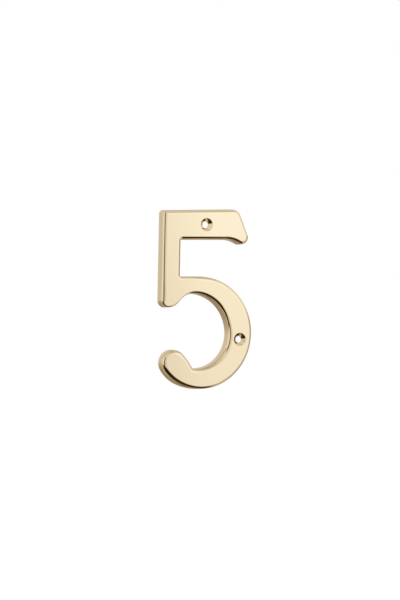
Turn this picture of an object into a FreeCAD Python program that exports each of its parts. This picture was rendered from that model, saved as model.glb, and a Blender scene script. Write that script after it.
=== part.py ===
import FreeCAD, Part
import cmath
import math
import os

# Door number: the figure five, one brass casting with a hollow back and two countersunk screw holes.
# Millimetres and degrees. Seen from the front, X runs to the right and Z up.
# The back lies on Y = 0 and the polished face looks along -Y.
# The origin is midway between the two screw holes, on the back.

# Casting
height = 101.6                # over the bar and the bowl, measured at the back
thickness = 7.0               # from the back to the face
draft = 2.0                   # taper of every wall, so that the casting leaves its mould
edge_radius = 2.0             # buffed round along the front edge
web = 2.8                     # metal behind the face
rim = 2.4                     # wall left all round the hollow back
core_radius = 1.0             # round between the hollow's walls and its floor
core_corner = 1.2             # smallest round in the hollow's own outline

# Bowl of the figure, drawn about the centre of its outer circle
bay = 20.5                    # clear height between the bar and the bowl
crown_stroke = 9.95           # stroke of the bowl at the top
side_stroke = 14.4            # stroke of the bowl at the right
base_stroke = 11.75           # stroke of the bowl at the bottom
eye_drop = 0.38               # widest height of the eye, below the bowl's centre

# Ball that ends the bowl
ball_radius = 7.6
ball_bearing = 227.1          # direction of the ball from the bowl's centre
ball_setback = 1.05           # the ball's rim inside the bowl's outer circle
heel_radius = 20.6            # round that carries the bowl's outer circle into the ball
flank_bearing = 34.9          # direction in which the ball's straight flank faces

# Stem
stem_width = 11.35
stem_lean = 1.25              # the stem leans to the right going up
stem_reach = 23.95            # left edge at the foot, left of the bowl's centre
foot_drop = 7.6               # foot of the stem, below the top of the eye
foot_radius = 4.05            # left corner of the foot
foot_flat = 0.1               # level stretch under the foot
knee_radius = 8.8             # right corner of the foot, which turns up into the eye

# Bar and its flag
bar_depth = 17.45             # at the flag
bar_flare = 0.87              # the top edge falls towards the stem
top_radius = 2.0              # corner of bar and stem
flag_reach = 23.75            # top corner of the flag, right of the bowl's centre
flag_slant = 68.0             # slope of the flag's end
flag_radius = 5.6             # top corner of the flag
tip_radius = 4.2              # lower tip of the flag
serif_start = 15.95           # where the underside starts to fall, right of the bowl's centre
serif_radius = 14.9
crotch_radius = 0.8           # inner corner of bar and stem
notch_radius = 0.8            # inner corners of stem and bowl, and of ball and bowl

# Screw holes
screw_hole = 3.8              # clear hole for the screw's shank
screw_head = 7.4              # rim of the countersink
screw_head_angle = 90.0       # included angle of the countersink
bar_hole_reach = 3.5          # hole in the bar, right of the bowl's centre
bowl_hole_drop = 3.9          # hole in the bowl, below the bowl's centre
bowl_hole_offset = 0.4        # the same hole, from the stroke's middle towards the eye

# Worked-out sizes
bowl_radius = (height - bar_depth - bay) / 2
bar_top = height - bowl_radius
bar_under = bar_top - bar_depth
eye_top = bowl_radius - crown_stroke
eye_right = bowl_radius - side_stroke
eye_upper_radius = eye_top + eye_drop
eye_lower_radius = bowl_radius - base_stroke - eye_drop
eye_middle = eye_right - eye_upper_radius
foot_level = eye_top - foot_drop
hollow = thickness - web
clear = 1.0                   # how far a cutting tool reaches past the face it enters


class Straight:
    """Straight edge through a point. The metal lies to the left of its heading."""

    def __init__(self, point, heading):
        self.point = point
        self.heading = heading / abs(heading)

    def inset(self, depth):
        return Straight(self.point + depth * 1j * self.heading, self.heading)

    def touch(self, centre, radius):
        """Where a round of that centre touches the edge."""
        along = (centre - self.point) / self.heading
        return self.point + along.real * self.heading


class Round:
    """Circular edge. Turn +1 has the metal inside the circle, -1 has it outside."""

    def __init__(self, centre, radius, turn):
        self.centre = centre
        self.radius = radius
        self.turn = turn

    def inset(self, depth):
        return Round(self.centre, self.radius - self.turn * depth, self.turn)

    def touch(self, centre, radius):
        """Where a round of that centre and signed radius touches the edge."""
        outward = (centre - self.centre) / abs(centre - self.centre)
        if self.turn > 0 and radius > self.radius:
            outward = -outward
        return self.centre + self.radius * outward


def polar(radius, bearing):
    return cmath.rect(radius, math.radians(bearing))


def meet(first, second, near):
    """The crossing of two edges that lies closest to the given point."""
    if isinstance(second, Straight):
        first, second = second, first
    if isinstance(second, Straight):
        offset = (second.point - first.point) / first.heading
        turned = second.heading / first.heading
        return first.point + first.heading * (offset.real - offset.imag * turned.real / turned.imag)
    if isinstance(first, Straight):
        middle = first.touch(second.centre, 0)
        half = first.heading * math.sqrt(second.radius ** 2 - abs(middle - second.centre) ** 2)
    else:
        span = second.centre - first.centre
        reach = (abs(span) ** 2 + first.radius ** 2 - second.radius ** 2) / (2 * abs(span))
        middle = first.centre + reach * span / abs(span)
        half = 1j * span / abs(span) * math.sqrt(first.radius ** 2 - reach ** 2)
    return min(middle + half, middle - half, key=lambda point: abs(point - near))


def figure(inset, least):
    """Edges of the figure, drawn in from the back's outline by the inset, counter-clockwise from the stem.

    Each edge meets the next at a round of its own radius, positive on a corner that sticks out and
    negative on one that cuts in, or runs straight on into it (None). Rounds keep at least the given radius.
    """
    lean = math.tan(math.radians(stem_lean))
    foot = complex(-stem_reach, foot_level)
    eye_crown = complex(eye_middle, eye_top)
    ball_centre = polar(bowl_radius - ball_radius - ball_setback, ball_bearing)
    flank_face = polar(1, flank_bearing)
    flag_corner = complex(flag_reach, bar_top)
    crotch = complex(stem_width - stem_reach, bar_under)
    notch = complex(stem_width - stem_reach, bowl_radius)

    # The shoulder starts level at the top of the eye and runs on into the knee.
    knee_centre = foot + complex(foot_radius + foot_flat, knee_radius)
    to_knee = eye_crown - knee_centre
    shoulder_radius = (abs(to_knee) ** 2 - knee_radius ** 2) / (2 * foot_drop)

    left = Straight(foot, complex(-lean, -1))
    sole = Straight(foot, 1)
    shoulder = Round(eye_crown - 1j * shoulder_radius, shoulder_radius, -1)
    eye_upper = Round(complex(eye_middle, -eye_drop), eye_upper_radius, -1)
    eye_lower = Round(complex(eye_right - eye_lower_radius, -eye_drop), eye_lower_radius, -1)
    flank = Straight(ball_centre + ball_radius * flank_face, 1j * flank_face)
    ball = Round(ball_centre, ball_radius, 1)
    bowl = Round(0, bowl_radius, 1)
    crown = Straight(1j * bowl_radius, -1)
    right = Straight(foot + stem_width, complex(lean, 1))
    underside = Straight(crotch, 1)
    serif = Round(complex(serif_start, bar_under - serif_radius), serif_radius, -1)
    flag = Straight(flag_corner, polar(1, 180 - flag_slant))
    top = Straight(flag_corner, polar(1, 180 + bar_flare))

    corners = [
        (left, foot_radius, foot),
        (sole, knee_radius, knee_centre),
        (shoulder, None, eye_crown),
        (eye_upper, None, complex(eye_right, -eye_drop)),
        (eye_lower, -notch_radius, complex(eye_middle, -bowl_radius)),
        (flank, None, flank.point),
        (ball, heel_radius, complex(0, heel_radius - bowl_radius)),
        (bowl, None, 1j * bowl_radius),
        (crown, -notch_radius, notch),
        (right, -crotch_radius, crotch),
        (underside, None, complex(serif_start, bar_under)),
        (serif, tip_radius, complex(flag_reach, bar_under)),
        (flag, flag_radius, flag_corner),
        (top, top_radius, complex(-stem_reach, bar_top)),
    ]
    edges = [edge.inset(inset) for edge, radius, near in corners]
    ends = []
    starts = []
    rounds = []
    for index, (edge, radius, near) in enumerate(corners):
        before = edges[index]
        after = edges[(index + 1) % len(edges)]
        if radius is None:
            point = joint(before, after)
            ends.append(point)
            starts.append(point)
            rounds.append(None)
            continue
        drawn = radius - inset
        if radius > 0:
            drawn = max(drawn, least)
        centre = meet(before.inset(drawn), after.inset(drawn), near)
        ends.append(before.touch(centre, drawn))
        starts.append(after.touch(centre, drawn))
        rounds.append(Round(centre, abs(drawn), math.copysign(1, drawn)))
    path = []
    for index, edge in enumerate(edges):
        path.append((edge, starts[index - 1], ends[index]))
        if rounds[index] is not None:
            path.append((rounds[index], ends[index], starts[index]))
    return path


def joint(before, after):
    """Where two edges that run on into each other touch."""
    if isinstance(before, Straight):
        return before.touch(after.centre, 0)
    if isinstance(after, Straight):
        return after.touch(before.centre, 0)
    larger, smaller = sorted((before, after), key=lambda edge: -edge.radius)
    outward = smaller.centre - larger.centre
    return larger.centre + larger.radius * outward / abs(outward)


def wire(path, depth):
    """The path as a closed wire in the plane that lies the given depth in front of the back."""
    def place(point):
        return FreeCAD.Vector(point.real, -depth, point.imag)

    edges = []
    for edge, start, end in path:
        if isinstance(edge, Straight):
            edges.append(Part.LineSegment(place(start), place(end)).toShape())
            continue
        sweep = cmath.phase((end - edge.centre) / (start - edge.centre))
        if sweep * edge.turn < 0:
            sweep += 2 * math.pi * edge.turn
        halfway = edge.centre + (start - edge.centre) * cmath.rect(1, sweep / 2)
        edges.append(Part.Arc(place(start), place(halfway), place(end)).toShape())
    return Part.Wire(edges)


def drafted(inset, depth, least, front_radius):
    """Solid that narrows from the back by the draft and has a rounded edge round its front."""
    taper = depth * math.tan(math.radians(draft))
    sections = [wire(figure(inset, least), 0), wire(figure(inset + taper, least), depth)]
    solid = Part.makeLoft(sections, True, True)
    front = [edge for edge in solid.Edges if edge.BoundBox.YMax < -depth / 2]
    return solid.makeFillet(front_radius, front)


def screw_cut(centre):
    """Clear hole with its countersink, entered from the face."""
    head_slope = math.tan(math.radians(screw_head_angle / 2))
    seat = (screw_head - screw_hole) / 2 / head_slope
    profile = [
        (0, thickness + clear),
        (screw_head / 2 + clear * head_slope, thickness + clear),
        (screw_hole / 2, thickness - seat),
        (screw_hole / 2, 0),
        (0, 0),
    ]
    points = [FreeCAD.Vector(centre.real + radius, -depth, centre.imag) for radius, depth in profile]
    section = Part.Face(Part.makePolygon(points + points[:1]))
    axis = FreeCAD.Vector(centre.real, 0, centre.imag)
    return section.revolve(axis, FreeCAD.Vector(0, 1, 0), 360)


def bar_hole():
    """Halfway between the bar's top and its underside."""
    fall = (flag_reach - bar_hole_reach) * math.tan(math.radians(bar_flare))
    return complex(bar_hole_reach, (bar_under + bar_top - fall) / 2)


def bowl_hole():
    """Just inside the middle of the bowl's right-hand stroke."""
    below_eye = bowl_hole_drop - eye_drop
    inner = eye_right - eye_lower_radius + math.sqrt(eye_lower_radius ** 2 - below_eye ** 2)
    outer = math.sqrt(bowl_radius ** 2 - bowl_hole_drop ** 2)
    return complex((inner + outer) / 2 - bowl_hole_offset, -bowl_hole_drop)


def numeral():
    holes = [bar_hole(), bowl_hole()]
    casting = drafted(0, thickness, edge_radius, edge_radius)
    core = drafted(rim, hollow, core_corner, core_radius)
    solid = casting.cut([core] + [screw_cut(hole) for hole in holes])
    middle = sum(holes) / len(holes)
    solid.translate(FreeCAD.Vector(-middle.real, 0, -middle.imag))
    return solid.Solids[0]


os.makedirs("parts", exist_ok=True)
numeral().exportStep("parts/numeral.step")
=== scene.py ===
import cmath
import math

import bpy
import numpy as np
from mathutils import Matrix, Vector
from mathutils.geometry import delaunay_2d_cdt


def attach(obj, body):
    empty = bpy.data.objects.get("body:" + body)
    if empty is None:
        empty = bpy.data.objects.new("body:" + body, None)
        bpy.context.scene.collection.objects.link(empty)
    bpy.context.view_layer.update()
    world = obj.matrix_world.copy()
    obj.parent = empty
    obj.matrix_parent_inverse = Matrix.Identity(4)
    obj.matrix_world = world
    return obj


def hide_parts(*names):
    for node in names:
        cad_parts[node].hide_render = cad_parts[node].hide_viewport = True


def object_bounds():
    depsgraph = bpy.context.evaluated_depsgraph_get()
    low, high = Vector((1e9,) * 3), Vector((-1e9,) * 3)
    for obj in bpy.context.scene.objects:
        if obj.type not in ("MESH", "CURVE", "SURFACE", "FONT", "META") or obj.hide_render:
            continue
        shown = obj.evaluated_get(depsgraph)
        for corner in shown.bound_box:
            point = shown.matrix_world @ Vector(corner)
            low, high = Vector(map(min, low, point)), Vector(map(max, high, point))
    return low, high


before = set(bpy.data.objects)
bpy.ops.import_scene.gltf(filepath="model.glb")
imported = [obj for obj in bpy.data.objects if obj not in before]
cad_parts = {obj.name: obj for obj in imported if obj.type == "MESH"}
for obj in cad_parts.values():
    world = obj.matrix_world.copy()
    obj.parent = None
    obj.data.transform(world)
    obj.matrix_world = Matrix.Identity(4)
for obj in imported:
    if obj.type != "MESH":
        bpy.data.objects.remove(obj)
cad_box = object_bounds()

# Door number: the figure five, cast in brass, polished on its face and edge, hollow behind, with two screw
# holes. Metres and degrees in the part's frame: X to the right, Z up, the back on Y = 0, the face along -Y.
mm = 0.001

# Casting
height = 101.6 * mm
thickness = 7.0 * mm
draft = 2.0
web = 2.8 * mm
rim = 2.4 * mm
core_radius = 1.0 * mm
core_corner = 1.2 * mm

# Bowl, drawn about the centre of its outer circle
bay = 20.5 * mm
crown_stroke = 9.95 * mm
side_stroke = 14.4 * mm
base_stroke = 11.75 * mm
eye_drop = 0.38 * mm

# Ball that ends the bowl, and the long curve of its flank
ball_radius = 7.6 * mm
ball_bearing = 227.1
ball_setback = 1.05 * mm
heel_radius = 20.6 * mm
flank_bearing = 42.0
flank_radius = 40.0 * mm

# Stem
stem_width = 11.35 * mm
stem_lean = 1.25
stem_reach = 23.95 * mm
foot_drop = 7.6 * mm
foot_radius = 4.05 * mm
foot_flat = 0.1 * mm
knee_radius = 8.8 * mm

# Bar and its flag
bar_depth = 17.45 * mm
bar_flare = 0.87
top_radius = 2.0 * mm
flag_reach = 23.75 * mm
flag_slant = 68.0
flag_radius = 5.6 * mm
tip_radius = 4.2 * mm
serif_start = 15.95 * mm
serif_radius = 14.9 * mm
crotch_radius = 0.5 * mm
notch_radius = 0.3 * mm

# Screw holes
screw_hole = 3.8 * mm
screw_head = 7.4 * mm
bar_hole_reach = 3.5 * mm
bowl_hole_drop = 3.9 * mm
bowl_hole_offset = 0.4 * mm

# Edges as the polishing wheel leaves them
edge_radius = 1.95 * mm
crisp_radius = 0.5 * mm
crown_radius = 4.0 * mm
crown_tilt = 6.0
mitre_radius = 0.15 * mm
edge_end = 2.8 * mm
arris = 0.15 * mm
burr = 0.08 * mm
land = 0.7 * mm
buffed_off = 0.005 * mm

# Places where the wheel has left the edge crisper, or rounder where the amount is below zero: where from the
# bowl's centre, which way that edge faces, how wide the place is, and how much. An edge counts from where it
# turns a little towards that way, and fully from where it turns to it by half
crisp_places = [
    (complex(-10.0, 19.0) * mm, -1j, 6.0 * mm, 0.85),
    (complex(-22.0, 14.5) * mm, -1j, 6.5 * mm, 0.9),
    (complex(16.0, 8.0) * mm, -1, 7.0 * mm, 0.35),
    (complex(-8.0, 31.8) * mm, 1j, 6.0 * mm, 0.5),
    (complex(5.0, -31.8) * mm, -1j, 13.0 * mm, 0.4),
    (complex(14.0, -11.5) * mm, complex(-0.85, 0.53), 8.0 * mm, -0.33),
    (complex(-19.0, -26.0) * mm, complex(-0.6, -0.8), 9.0 * mm, -0.3),
    (complex(-24.0, 22.0) * mm, -1, 8.0 * mm, -0.33),
    (complex(-11.0, -12.0) * mm, complex(0.7, 0.7), 6.0 * mm, -0.33),
]
roundest = -0.34
turned_a_little = 0.05
turned_by_half = 0.5

# Fineness of the mesh
arc_step = math.radians(3)
spare_steps = 2
straight_step = 4 * mm
profile_step = math.radians(3)
hole_steps = 96
same_place = 1e-6 * mm
fill_tolerance = 1e-7

# Worked-out sizes
bowl_radius = (height - bar_depth - bay) / 2
bar_top = height - bowl_radius
bar_under = bar_top - bar_depth
eye_top = bowl_radius - crown_stroke
eye_right = bowl_radius - side_stroke
eye_upper_radius = eye_top + eye_drop
eye_lower_radius = bowl_radius - base_stroke - eye_drop
eye_middle = eye_right - eye_upper_radius
foot_level = eye_top - foot_drop
hollow = thickness - web
core_floor_start = 1.1 * core_radius
draft_slope = math.tan(math.radians(draft))


def ease(value, start, end):
    """0 before the start, 1 after the end, and an even S-bend between them."""
    share = np.clip((value - start) / (end - start), 0, 1)
    return share * share * (3 - 2 * share)


def mixed(first, second, share):
    """The first value, moved that share of the way to the second."""
    return first + (second - first) * share


def polar(radius, bearing):
    """The point at that distance and bearing from the centre, as complex X + Z."""
    return cmath.rect(radius, math.radians(bearing))


class Straight:
    """Straight edge of the outline through a point, with the metal to the left of its heading."""

    def __init__(self, point, heading):
        self.point = point
        self.heading = heading / abs(heading)

    def inset(self, depth):
        """The same edge, moved square to its heading into the metal."""
        return Straight(self.point + depth * 1j * self.heading, self.heading)

    def touch(self, centre, radius):
        """The foot of the square from the centre of a circle that touches the edge."""
        return self.point + ((centre - self.point) / self.heading).real * self.heading

    def steps(self, start, end):
        """The length over the straight step, rounded up."""
        return math.ceil(abs(end - start) / straight_step)

    def trace(self, start, end, share):
        """Start plus that share of the way to the end. Out of the metal is square to the heading."""
        return start + (end - start) * share, np.full(share.shape, -1j * self.heading)


class Round:
    """Round edge of the outline. Turn +1 has the metal inside the circle, -1 has it outside."""

    def __init__(self, centre, radius, turn):
        self.centre = centre
        self.radius = radius
        self.turn = turn

    def inset(self, depth):
        """The circle about the same centre, with its radius changed so that the edge moves into the metal."""
        return Round(self.centre, self.radius - self.turn * depth, self.turn)

    def touch(self, centre, radius):
        """The point on the line through both centres, on the far side if the other circle holds this one."""
        outward = (centre - self.centre) / abs(centre - self.centre)
        if self.turn > 0 and radius > self.radius:
            outward = -outward
        return self.centre + self.radius * outward

    def sweep(self, start, end):
        """The angle from start to end about the centre, taken the way that the edge turns."""
        angle = cmath.phase((end - self.centre) / (start - self.centre))
        return angle if angle * self.turn >= 0 else angle + 2 * math.pi * self.turn

    def steps(self, start, end):
        """The sweep over the arc step, rounded up, and a few more so that short rounds stay round."""
        return math.ceil(abs(self.sweep(start, end)) / arc_step) + spare_steps

    def trace(self, start, end, share):
        """The spoke to the start, turned by that share of the sweep. Out of the metal is along the spoke."""
        spokes = (start - self.centre) * np.exp(1j * self.sweep(start, end) * share)
        return self.centre + spokes, self.turn * spokes / self.radius


def meet(first, second, near):
    """The crossing of two edges that lies closest to the given point."""
    if isinstance(second, Straight):
        first, second = second, first
    if isinstance(second, Straight):
        offset = (second.point - first.point) / first.heading
        turned = second.heading / first.heading
        return first.point + first.heading * (offset.real - offset.imag * turned.real / turned.imag)
    if isinstance(first, Straight):
        middle = first.touch(second.centre, 0)
        half = first.heading * math.sqrt(second.radius ** 2 - abs(middle - second.centre) ** 2)
    else:
        span = second.centre - first.centre
        reach = (abs(span) ** 2 + first.radius ** 2 - second.radius ** 2) / (2 * abs(span))
        middle = first.centre + reach * span / abs(span)
        half = 1j * span / abs(span) * math.sqrt(first.radius ** 2 - reach ** 2)
    return min(middle + half, middle - half, key=lambda point: abs(point - near))


def joint(before, after):
    """Where two edges that run on into each other touch."""
    if isinstance(before, Straight):
        return before.touch(after.centre, 0)
    if isinstance(after, Straight):
        return after.touch(before.centre, 0)
    larger, smaller = sorted((before, after), key=lambda edge: -edge.radius)
    outward = smaller.centre - larger.centre
    return larger.centre + larger.radius * outward / abs(outward)


def figure(inset, least):
    """Stretches of the figure's outline, drawn in from the back's outline by the inset, counter-clockwise.

    Each edge meets the next at a round of its own radius, positive on a corner that sticks out and negative
    on one that cuts in, or runs straight on into it (None). Rounds keep at least the given radius.
    """
    lean = math.tan(math.radians(stem_lean))
    foot = complex(-stem_reach, foot_level)
    eye_crown = complex(eye_middle, eye_top)
    ball_centre = polar(bowl_radius - ball_radius - ball_setback, ball_bearing)
    flank_face = polar(1, flank_bearing)
    flag_corner = complex(flag_reach, bar_top)
    crotch = complex(stem_width - stem_reach, bar_under)
    notch = complex(stem_width - stem_reach, bowl_radius)
    knee_centre = foot + complex(foot_radius + foot_flat, knee_radius)
    shoulder_radius = (abs(eye_crown - knee_centre) ** 2 - knee_radius ** 2) / (2 * foot_drop)

    left = Straight(foot, complex(-lean, -1))
    sole = Straight(foot, 1)
    shoulder = Round(eye_crown - 1j * shoulder_radius, shoulder_radius, -1)
    eye_upper = Round(complex(eye_middle, -eye_drop), eye_upper_radius, -1)
    eye_lower = Round(complex(eye_right - eye_lower_radius, -eye_drop), eye_lower_radius, -1)
    flank = Round(ball_centre - (flank_radius - ball_radius) * flank_face, flank_radius, 1)
    ball = Round(ball_centre, ball_radius, 1)
    bowl = Round(0, bowl_radius, 1)
    crown = Straight(1j * bowl_radius, -1)
    right = Straight(foot + stem_width, complex(lean, 1))
    underside = Straight(crotch, 1)
    serif = Round(complex(serif_start, bar_under - serif_radius), serif_radius, -1)
    flag = Straight(flag_corner, polar(1, 180 - flag_slant))
    top = Straight(flag_corner, polar(1, 180 + bar_flare))

    corners = [
        (left, foot_radius, foot),
        (sole, knee_radius, knee_centre),
        (shoulder, None, None),
        (eye_upper, None, None),
        (eye_lower, -notch_radius, complex(eye_middle, -bowl_radius)),
        (flank, None, None),
        (ball, heel_radius, complex(0, heel_radius - bowl_radius)),
        (bowl, None, None),
        (crown, -notch_radius, notch),
        (right, -crotch_radius, crotch),
        (underside, None, None),
        (serif, tip_radius, complex(flag_reach, bar_under)),
        (flag, flag_radius, flag_corner),
        (top, top_radius, complex(-stem_reach, bar_top)),
    ]
    edges = [edge.inset(inset) for edge, radius, near in corners]
    ends = []
    starts = []
    rounds = []
    for before, after, (edge, radius, near) in zip(edges, edges[1:] + edges[:1], corners):
        if radius is None:
            ends.append(joint(before, after))
            starts.append(ends[-1])
            rounds.append(None)
            continue
        drawn = radius - inset
        if radius > 0:
            drawn = max(drawn, least)
        centre = meet(before.inset(drawn), after.inset(drawn), near)
        ends.append(before.touch(centre, drawn))
        starts.append(after.touch(centre, drawn))
        rounds.append(Round(centre, abs(drawn), math.copysign(1, drawn)))
    path = []
    for index, edge in enumerate(edges):
        path.append((edge, starts[index - 1], ends[index]))
        if rounds[index] is not None:
            path.append((rounds[index], ends[index], starts[index]))
    return path


def hole_centres():
    """Halfway between the bar's top and underside, and just inside the middle of the bowl's right stroke."""
    fall = (flag_reach - bar_hole_reach) * math.tan(math.radians(bar_flare))
    below_eye = bowl_hole_drop - eye_drop
    inner = eye_right - eye_lower_radius + math.sqrt(eye_lower_radius ** 2 - below_eye ** 2)
    outer = math.sqrt(bowl_radius ** 2 - bowl_hole_drop ** 2)
    bar_hole = complex(bar_hole_reach, (bar_under + bar_top - fall) / 2)
    bowl_hole = complex((inner + outer) / 2 - bowl_hole_offset, -bowl_hole_drop)
    return bar_hole, bowl_hole


outline_steps = [edge.steps(start, end) for edge, start, end in figure(0, mitre_radius)]
holes_middle = sum(hole_centres()) / 2


def outline(inset, least):
    """Points of the polished outline at that inset, and the way out of the metal at each, as complex X + Z.

    Each stretch is traced at even shares of its way, as many at every inset as at none.
    """
    stretches = zip(figure(inset + buffed_off, least), outline_steps)
    traced = [
        edge.trace(start, end, np.arange(steps) / steps) for (edge, start, end), steps in stretches
    ]
    points, outward = (np.concatenate(part) for part in zip(*traced))
    return points - holes_middle, outward


def bent_line(corners, radii, side):
    """A bent line with rounded corners, as complex points and the unit normals on one side of it.

    Each corner is cut off at its radius times the tangent of half the bend, and an arc joins the two cuts,
    along which the heading turns evenly. The normal is the heading turned a quarter to the given side. Where
    one arc runs straight on into the next, their common point is kept once.
    """
    corners = np.array(corners, complex)
    headings = np.diff(corners) / np.abs(np.diff(corners))
    points = [corners[:1]]
    normals = [headings[:1]]
    for corner, radius, before, after in zip(corners[1:-1], radii, headings, headings[1:]):
        bend = np.angle(after / before)
        turned = np.exp(1j * np.linspace(0, bend, round(abs(bend) / profile_step) + 1))
        start = corner - before * radius * math.tan(abs(bend) / 2)
        to_centre = np.sign(bend) * 1j * before * radius
        points.append(start + to_centre - to_centre * turned)
        normals.append(before * turned)
    points = np.concatenate(points + [corners[-1:]])
    normals = np.concatenate(normals + [headings[-1:]])
    moved_on = np.append(True, np.abs(np.diff(points)) > same_place)
    return points[moved_on], side * 1j * normals[moved_on]


def crispness():
    """How crisp the edge is at each point of the outline: the sum of the crisp places' bells there.

    A bell is its amount times e to the minus square of the distance over its width, and counts only where the
    edge faces its way. The sum goes no lower than the roundest edge.
    """
    points, outward = outline(0, mitre_radius)
    bells = []
    for place, faces, reach, amount in crisp_places:
        turned_to = ease((outward * np.conj(faces)).real, turned_a_little, turned_by_half)
        distance = np.abs(points + holes_middle - place)
        bells.append(amount * turned_to * np.exp(-(distance / reach) ** 2))
    return np.maximum(np.sum(bells, axis=0), roundest)


def carried(profile, normals, least, change=0):
    """A profile of inset and depth carried round the figure: the outline at each inset, laid at that depth.

    The change is added to the profile point by point: its inset moves the point along the outline's normal.
    The normal is the outline's outward direction and the face's, mixed as the profile's normal says.
    """
    rings = [outline(inset, least) for inset in profile.real]
    outward = np.array([outward for ring, outward in rings])
    change = np.broadcast_to(change, outward.shape)
    places = np.array([ring for ring, outward in rings]) - outward * change.real
    depth = profile.imag[:, None] + change.imag
    level = np.broadcast_to(normals.imag[:, None], places.shape)
    across = -normals.real[:, None] * outward
    return (
        np.stack([places.real, -depth, places.imag], -1),
        np.stack([across.real, -level, across.imag], -1),
    )


def turned(profile, normals, centre):
    """A profile of radius and depth turned about a screw hole's axis.

    Each ring is the radius times a unit circle, laid at that depth. The normal is the circle's own direction
    and the face's, mixed as the profile's normal says.
    """
    circle = np.exp(2j * math.pi * np.arange(hole_steps) / hole_steps)
    places = centre + profile.real[:, None] * circle
    depth = np.broadcast_to(profile.imag[:, None], places.shape)
    level = np.broadcast_to(normals.imag[:, None], places.shape)
    across = normals.real[:, None] * circle
    return (
        np.stack([places.real, -depth, places.imag], -1),
        np.stack([across.real, -level, across.imag], -1),
    )


def facing(points, normals, faces):
    """The faces, turned over where their corners run clockwise seen from the side their normals point to."""
    first, second, third = (points[faces[:, corner]] for corner in range(3))
    outside = np.einsum("ij,ij->i", np.cross(second - first, third - first), normals[faces[:, 0]])
    return np.where(outside[:, None] < 0, faces[:, ::-1], faces)


def band(surface, finish, first_finish):
    """Four-sided faces of a surface whose rows are closed rings. The first strip has a finish of its own."""
    points, normals = surface
    rows, columns = points.shape[:2]
    number = np.arange(rows * columns).reshape(rows, columns)
    across = np.roll(number, -1, 1)
    faces = np.stack([number[:-1], across[:-1], across[1:], number[1:]], -1).reshape(-1, 4)
    points = points.reshape(-1, 3)
    normals = normals.reshape(-1, 3)
    row_finish = np.where(np.arange(rows - 1) == 0, first_finish, finish)
    return points, normals, facing(points, normals, faces), np.repeat(row_finish, columns)


def plate(rings, normal, finish):
    """Triangles that fill a flat outline, less the round holes in it, with the rings' own points as corners.

    A triangle with all its corners on one hole's ring lies in that hole and is left out.
    """
    points = np.concatenate(rings)
    normals = np.broadcast_to(np.array(normal, float), points.shape)
    lengths = [len(ring) for ring in rings]
    starts = np.cumsum([0] + lengths)
    loops = [start + np.arange(length) for start, length in zip(starts, lengths)]
    sides = np.concatenate([np.stack([loop, np.roll(loop, -1)], -1) for loop in loops])
    flat = [Vector(place) for place in (points[:, ::2] / mm).tolist()]
    inside_only = 1
    filled = delaunay_2d_cdt(flat, sides.tolist(), [], inside_only, fill_tolerance)
    own_point = np.array([sources[0] for sources in filled[3]])
    faces = own_point[np.array(filled[2])]
    ring_of = np.repeat(np.arange(len(rings)), lengths)[faces]
    over_hole = (ring_of[:, 0] > 0) & (ring_of == ring_of[:, :1]).all(1)
    faces = faces[~over_hole]
    return points, normals, facing(points, normals, faces), np.full(len(faces), finish)


def joined(name, bands, finishes):
    """One mesh of all the bands: equal points are made one, and each face keeps its own band's normals."""
    starts = np.cumsum([0] + [len(points) for points, normals, faces, finish in bands])
    every_point = np.concatenate([points for points, normals, faces, finish in bands])
    every_normal = np.concatenate([normals for points, normals, faces, finish in bands])
    places, merged = np.unique(every_point, axis=0, return_inverse=True)
    merged = merged.ravel()
    faces = []
    corner_normals = []
    face_finish = []
    for start, (points, normals, band_faces, finish) in zip(starts, bands):
        faces += merged[band_faces + start].tolist()
        corner_normals.append(every_normal[band_faces + start].reshape(-1, 3))
        face_finish.append(finish)
    mesh = bpy.data.meshes.new(name)
    mesh.from_pydata(places.tolist(), [], faces)
    mesh.polygons.foreach_set("use_smooth", [True] * len(faces))
    mesh.polygons.foreach_set("material_index", np.concatenate(face_finish).astype(np.int32))
    for finish in finishes:
        mesh.materials.append(finish)
    mesh.normals_split_custom_set(np.concatenate(corner_normals))
    mesh.update()
    return mesh


def edge_line(radius):
    """The outside's profile: the back, the drafted wall, the edge of that radius, a slight crown, the face.

    One arc turns the edge from the wall to the crown's tilt, and the next turns the crown to the face.
    """
    edge_length = radius * math.tan(math.radians(90 - draft - crown_tilt) / 2)
    crown_length = crown_radius * math.tan(math.radians(crown_tilt / 2))
    slope = polar(edge_length + crown_length, crown_tilt)
    wall_top = thickness - slope.imag
    edge = complex(wall_top * draft_slope, wall_top)
    face = complex(edge_end, thickness)
    return bent_line([land, 0, edge, edge + slope, face], [arris, radius, crown_radius], 1)


def casting(finishes):
    """The whole five as one closed skin: outside, face, hollow, back rim and the two screw holes."""
    polished, linished, cast = range(len(finishes))

    outside = edge_line(edge_radius)
    crisper = edge_line(crisp_radius)[0] - outside[0]
    skin = carried(*outside, mitre_radius, crisper[:, None] * crispness())

    core_foot = complex(rim + hollow * draft_slope, hollow)
    inside = bent_line([rim - land, rim, core_foot, core_foot + core_floor_start], [arris, core_radius], -1)
    core = carried(*inside, core_corner - core_radius)

    seat = (screw_head - screw_hole) / 2
    hole_line = bent_line(
        [
            complex(screw_head / 2 + burr, thickness),
            complex(screw_head / 2, thickness),
            complex(screw_hole / 2, thickness - seat),
            complex(screw_hole / 2, hollow),
            complex(screw_hole / 2 + arris, hollow),
        ],
        [arris, burr, burr],
        -1,
    )
    holes = [turned(*hole_line, centre - holes_middle) for centre in hole_centres()]

    back = np.array([skin[0][0], core[0][0]])
    back_normals = np.broadcast_to(np.array([0.0, 1.0, 0.0]), back.shape)
    face_rings = [skin[0][-1]] + [points[0] for points, normals in holes]
    floor_rings = [core[0][-1]] + [points[-1] for points, normals in holes]
    bands = [
        band(skin, polished, linished),
        plate(face_rings, (0, -1, 0), polished),
        band(core, cast, linished),
        plate(floor_rings, (0, 1, 0), cast),
        band((back, back_normals), linished, linished),
    ]
    bands += [band(hole, polished, polished) for hole in holes]
    return joined("numeral_casting", bands, finishes)


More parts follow.
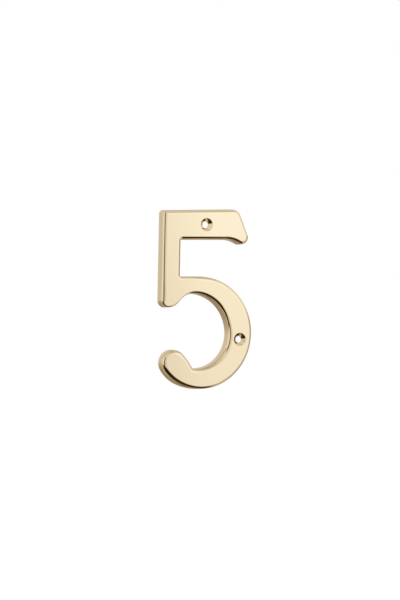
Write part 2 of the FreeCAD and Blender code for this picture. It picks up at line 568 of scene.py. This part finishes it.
class Socket:
    """An output of a shader node. Sums and products with numbers and other sockets add Math nodes."""

    def __init__(self, tree, output=None):
        self.tree = tree
        self.output = output

    def node(self, kind, settings=None, sockets=None, take=0):
        """Adds a node of that kind: its settings are set first, then its sockets' values or links."""
        made = self.tree.nodes.new(kind)
        for name, value in (settings or {}).items():
            setattr(made, name, value)
        for name, value in (sockets or {}).items():
            if isinstance(value, Socket):
                self.tree.links.new(value.output, made.inputs[name])
            else:
                made.inputs[name].default_value = value
        return Socket(self.tree, made.outputs[take] if len(made.outputs) else None)

    def math(self, operation, first, second):
        return self.node("ShaderNodeMath", {"operation": operation}, {0: first, 1: second})

    def __add__(self, other):
        return self.math("ADD", self, other)

    def __radd__(self, other):
        return self.math("ADD", other, self)

    def __mul__(self, other):
        return self.math("MULTIPLY", self, other)

    def __rmul__(self, other):
        return self.math("MULTIPLY", other, self)


def new_material(name):
    """An empty node material and the start of its shader expressions."""
    material = bpy.data.materials.new(name)
    material.use_nodes = True
    material.node_tree.nodes.clear()
    return material, Socket(material.node_tree)


def grain(shade, scale, detail=2.0, stretch=(1.0, 1.0, 1.0)):
    """Noise over the piece's own coordinates, from 0 to 1, drawn out along the axes with a small stretch."""
    place = shade.node("ShaderNodeTexCoord", take="Object")
    place = shade.node("ShaderNodeMapping", sockets={"Vector": place, "Scale": stretch})
    return shade.node("ShaderNodeTexNoise", sockets={"Vector": place, "Scale": scale, "Detail": detail})


def tint(shade, amount, first, second):
    """The first colour, moved by the amount towards the second."""
    colour_output = 2
    sockets = {"Factor": amount, "A": first, "B": second}
    return shade.node("ShaderNodeMix", {"data_type": "RGBA"}, sockets, take=colour_output)


def polished_brass():
    """Bright buffed brass: a faint swell in the face, fine wheel marks and a breath of tarnish."""
    material, shade = new_material("polished_brass")
    bloom = grain(shade, 45.0, 3.0)
    marks = grain(shade, 900.0, 2.0, (0.12, 1.0, 1.0))
    swell = grain(shade, 60.0, 1.0)
    colour = tint(shade, bloom, (0.97, 0.85, 0.62, 1.0), (0.955, 0.825, 0.59, 1.0))
    bump = shade.node(
        "ShaderNodeBump",
        sockets={"Strength": 1.0, "Distance": 0.02 * mm, "Height": swell + 0.01 * marks},
    )
    surface = shade.node(
        "ShaderNodeBsdfPrincipled",
        sockets={
            "Base Color": colour,
            "Metallic": 1.0,
            "Roughness": 0.05 + 0.03 * marks,
            "Normal": bump,
        },
    )
    shade.node("ShaderNodeOutputMaterial", sockets={"Surface": surface})
    return material


def linished_brass():
    """The back's rim as it comes off the belt: close straight scratches along the figure's width."""
    material, shade = new_material("linished_brass")
    scratches = grain(shade, 3500.0, 4.0, (0.015, 1.0, 1.0))
    bump = shade.node(
        "ShaderNodeBump",
        sockets={"Strength": 0.8, "Distance": 0.04 * mm, "Height": scratches},
    )
    surface = shade.node(
        "ShaderNodeBsdfPrincipled",
        sockets={
            "Base Color": tint(shade, scratches, (0.95, 0.78, 0.5, 1.0), (0.68, 0.51, 0.29, 1.0)),
            "Metallic": 1.0,
            "Roughness": 0.18 + 0.2 * scratches,
            "Normal": bump,
        },
    )
    shade.node("ShaderNodeOutputMaterial", sockets={"Surface": surface})
    return material


def cast_brass():
    """The hollow as it left the sand: a grainy skin, dulled in blotches."""
    material, shade = new_material("cast_brass")
    sand = grain(shade, 1600.0, 4.0)
    blotch = grain(shade, 140.0, 4.0)
    bump = shade.node(
        "ShaderNodeBump",
        sockets={"Strength": 0.8, "Distance": 0.12 * mm, "Height": sand + 0.6 * blotch},
    )
    surface = shade.node(
        "ShaderNodeBsdfPrincipled",
        sockets={
            "Base Color": tint(shade, blotch, (0.62, 0.44, 0.22, 1.0), (0.36, 0.23, 0.11, 1.0)),
            "Metallic": 1.0,
            "Roughness": 0.42 + 0.25 * blotch,
            "Normal": bump,
        },
    )
    shade.node("ShaderNodeOutputMaterial", sockets={"Surface": surface})
    return material


def linked(name, mesh):
    """A new object of that mesh, at the origin of the scene."""
    piece = bpy.data.objects.new(name, mesh)
    bpy.context.scene.collection.objects.link(piece)
    return piece


numeral = linked("numeral_casting", casting([polished_brass(), linished_brass(), cast_brass()]))
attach(numeral, "root")
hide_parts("numeral")

# Camera, at the photograph's angle
camera_azimuth = -24.0
camera_elevation = 0.7
camera_distance = 2012 * mm
camera_lens = 214.4
sensor = 36.0
aim_right = -11.91 * mm
aim_up = -9.62 * mm
frame_right = -2.28 * mm
frame_up = -0.37 * mm


def place_camera():
    """Stands the camera off from a point on the face, and looks a little past it to frame the figure."""
    azimuth = math.radians(camera_azimuth)
    elevation = math.radians(camera_elevation)
    level = math.cos(elevation)
    back = Vector((math.sin(azimuth) * level, -math.cos(azimuth) * level, math.sin(elevation)))
    right = Vector((math.cos(azimuth), math.sin(azimuth), 0))
    up = back.cross(right)
    aim = Vector((aim_right, -thickness, aim_up))
    data = bpy.data.cameras.new("camera")
    data.lens = camera_lens
    data.sensor_width = sensor
    camera = bpy.data.objects.new("camera", data)
    bpy.context.scene.collection.objects.link(camera)
    camera.location = aim + back * camera_distance
    look = aim + right * frame_right + up * frame_up - camera.location
    camera.rotation_mode = "QUATERNION"
    camera.rotation_quaternion = look.to_track_quat("-Z", "Y")
    bpy.context.scene.camera = camera


place_camera()

# Studio: a pale floor under a white sky, and a tent of cloth round the number that only the metal mirrors
floor_drop = 250 * mm
floor_half = 4.0
floor_colour = (0.8, 0.8, 0.8, 1.0)
floor_fill = 0.25
tent_radius = 1000 * mm
tent_clearance = 5 * mm
tent_rows = 181
tent_columns = 361
green_fall = 1.2
blue_fall = 1.5
near_level = 1e-6
tent_centre = (cad_box[0] + cad_box[1]) / 2
floor_level = cad_box[0].z - floor_drop


def surface_mesh(name, points):
    """A plain mesh over a grid of points."""
    rows, columns = points.shape[:2]
    number = np.arange(rows * columns).reshape(rows, columns)
    faces = np.stack([number[:-1, :-1], number[:-1, 1:], number[1:, 1:], number[1:, :-1]], -1)
    mesh = bpy.data.meshes.new(name)
    mesh.from_pydata(points.reshape(-1, 3).tolist(), [], faces.reshape(-1, 4).tolist())
    return mesh


def tent_tone(azimuth, elevation):
    """How bright the tent is in a direction. Azimuth 0 is straight in front of the face, 90 is to its right.

    The cloth in front is white on the right and fades to the left up to a dark gap, with pale cloth past it.
    On the right, behind and overhead the cloth is a middle tone. Below the front lies a dark table, whose left
    end is soft, with a bright sheet to its right. Straight below is dark. Each part is laid over those before
    it by a share that eases from 0 to 1 over the angles where the part begins.
    """
    front = np.interp(
        azimuth,
        [-150, -100, -75, -45, -20, 0, 14, 20, 22, 23, 24, 30],
        [0.7, 0.85, 0.85, 0.7, 0.74, 0.78, 0.82, 0.89, 0.93, 0.98, 1.04, 1.04],
    )
    tone = front * (0.87 + 0.13 * ease(elevation, -7, 6))
    right = np.interp(elevation, [-50, -12, -2, 4, 14, 40], [0.6, 0.5, 0.42, 0.42, 0.75, 0.75])
    tone = mixed(tone, right, ease(azimuth, 42, 60))
    rear = np.interp(elevation, [-60, -30, -20, -10, 0, 20], [0.22, 0.33, 0.38, 0.45, 0.62, 0.66])
    tone = mixed(tone, rear, ease(np.abs(azimuth), 120, 160))
    gap_tone = 0.09
    gap = ease(azimuth, -66, -59) * (1 - ease(azimuth, -38, -28))
    tone = mixed(tone, gap_tone, gap)
    overhead = np.interp(
        azimuth,
        [-120, -80, -40, -10, 30, 60, 110, 140],
        [0.55, 0.75, 0.75, 0.55, 0.55, 0.72, 0.72, 0.55],
    )
    tone = mixed(tone, overhead, ease(elevation, 29, 34))
    table_edge = np.interp(azimuth, [-90, -60, -40, 0, 18], [-5, -11, -18, -17, -11.5])
    table_blur = np.interp(azimuth, [-90, -60, -40], [16, 9, 3])
    sheet_edge = np.interp(elevation, [-55, -40, -20, 0], [46, 33.5, 27, 24.5])
    under = 1 - ease(elevation, table_edge - table_blur, table_edge)
    sheet = ease(azimuth, sheet_edge, sheet_edge + 1 + 0.2 * np.maximum(-elevation, 0))
    table_tone = 0.06 - 0.04 * ease(-elevation, 22, 36)
    sheet_tone = 0.58 - 0.2 * ease(azimuth, 60, 90)
    below_tone = 0.09
    ground = mixed(table_tone, sheet_tone, sheet)
    ground = mixed(ground, below_tone, ease(-elevation, 50, 62))
    front_half = 1 - ease(np.abs(azimuth), 95, 125)
    return mixed(tone, ground, under * front_half)


def tent():
    """A ball round the number, flattened just above the floor: radius times direction, cut off at the floor.

    Dark cloth is warmer than light cloth: its green and blue are the tone raised to powers above 1.
    """
    azimuth = np.radians(np.linspace(-180, 180, tent_columns))
    elevation = np.radians(np.linspace(-90, 90, tent_rows))[:, None]
    level = np.cos(elevation)
    rise = np.broadcast_to(np.sin(elevation), (tent_rows, tent_columns))
    direction = np.stack([level * np.sin(azimuth), -level * np.cos(azimuth), rise], -1)
    depth = tent_centre.z - floor_level - tent_clearance
    reach = np.minimum(tent_radius, depth / np.maximum(-rise, near_level))
    mesh = surface_mesh("tent", np.array(tent_centre) + direction * reach[..., None])
    tone = tent_tone(np.degrees(azimuth)[None, :], np.degrees(elevation))
    colours = np.stack([tone, tone ** green_fall, tone ** blue_fall, np.ones(tone.shape)], -1)
    painted = mesh.attributes.new("tone", "FLOAT_COLOR", "POINT")
    painted.data.foreach_set("color", colours.astype(np.float32).ravel())
    material, shade = new_material("tent_cloth")
    light = shade.node(
        "ShaderNodeEmission",
        sockets={"Color": shade.node("ShaderNodeAttribute", {"attribute_name": "tone"}, take="Color")},
    )
    shade.node("ShaderNodeOutputMaterial", sockets={"Surface": light})
    material.cycles.emission_sampling = "NONE"
    mesh.materials.append(material)
    cloth = linked("tent", mesh)
    cloth.visible_camera = False
    cloth.visible_diffuse = False
    cloth.visible_transmission = False
    cloth.visible_shadow = False


def floor():
    """A flat pale sheet. What it lacks of white is added for the eye and the mirror, so only shadow shows."""
    reach = np.linspace(-floor_half, floor_half, 3)
    along, across = np.meshgrid(reach, reach)
    mesh = surface_mesh("floor", np.stack([along, across, np.full(along.shape, floor_level)], -1))
    material, shade = new_material("pale_floor")
    seen = shade.node("ShaderNodeLightPath", take="Is Camera Ray")
    seen = seen + shade.node("ShaderNodeLightPath", take="Is Glossy Ray")
    seen = seen + shade.node("ShaderNodeLightPath", take="Is Transmission Ray")
    cloth = shade.node("ShaderNodeBsdfDiffuse", sockets={"Color": floor_colour})
    fill = shade.node("ShaderNodeEmission", sockets={"Strength": floor_fill * seen})
    both = shade.node("ShaderNodeAddShader", sockets={0: cloth, 1: fill})
    shade.node("ShaderNodeOutputMaterial", sockets={"Surface": both})
    mesh.materials.append(material)
    linked("floor", mesh)


def white_sky():
    """Even white light from every side."""
    world = bpy.data.worlds.new("sky")
    world.use_nodes = True
    world.node_tree.nodes.clear()
    shade = Socket(world.node_tree)
    sky = shade.node("ShaderNodeBackground", sockets={"Color": (1.0, 1.0, 1.0, 1.0), "Strength": 1.0})
    shade.node("ShaderNodeOutputWorld", sockets={"Surface": sky})
    bpy.context.scene.world = world


tent()
floor()
white_sky()
bpy.context.scene.view_settings.view_transform = "Standard"
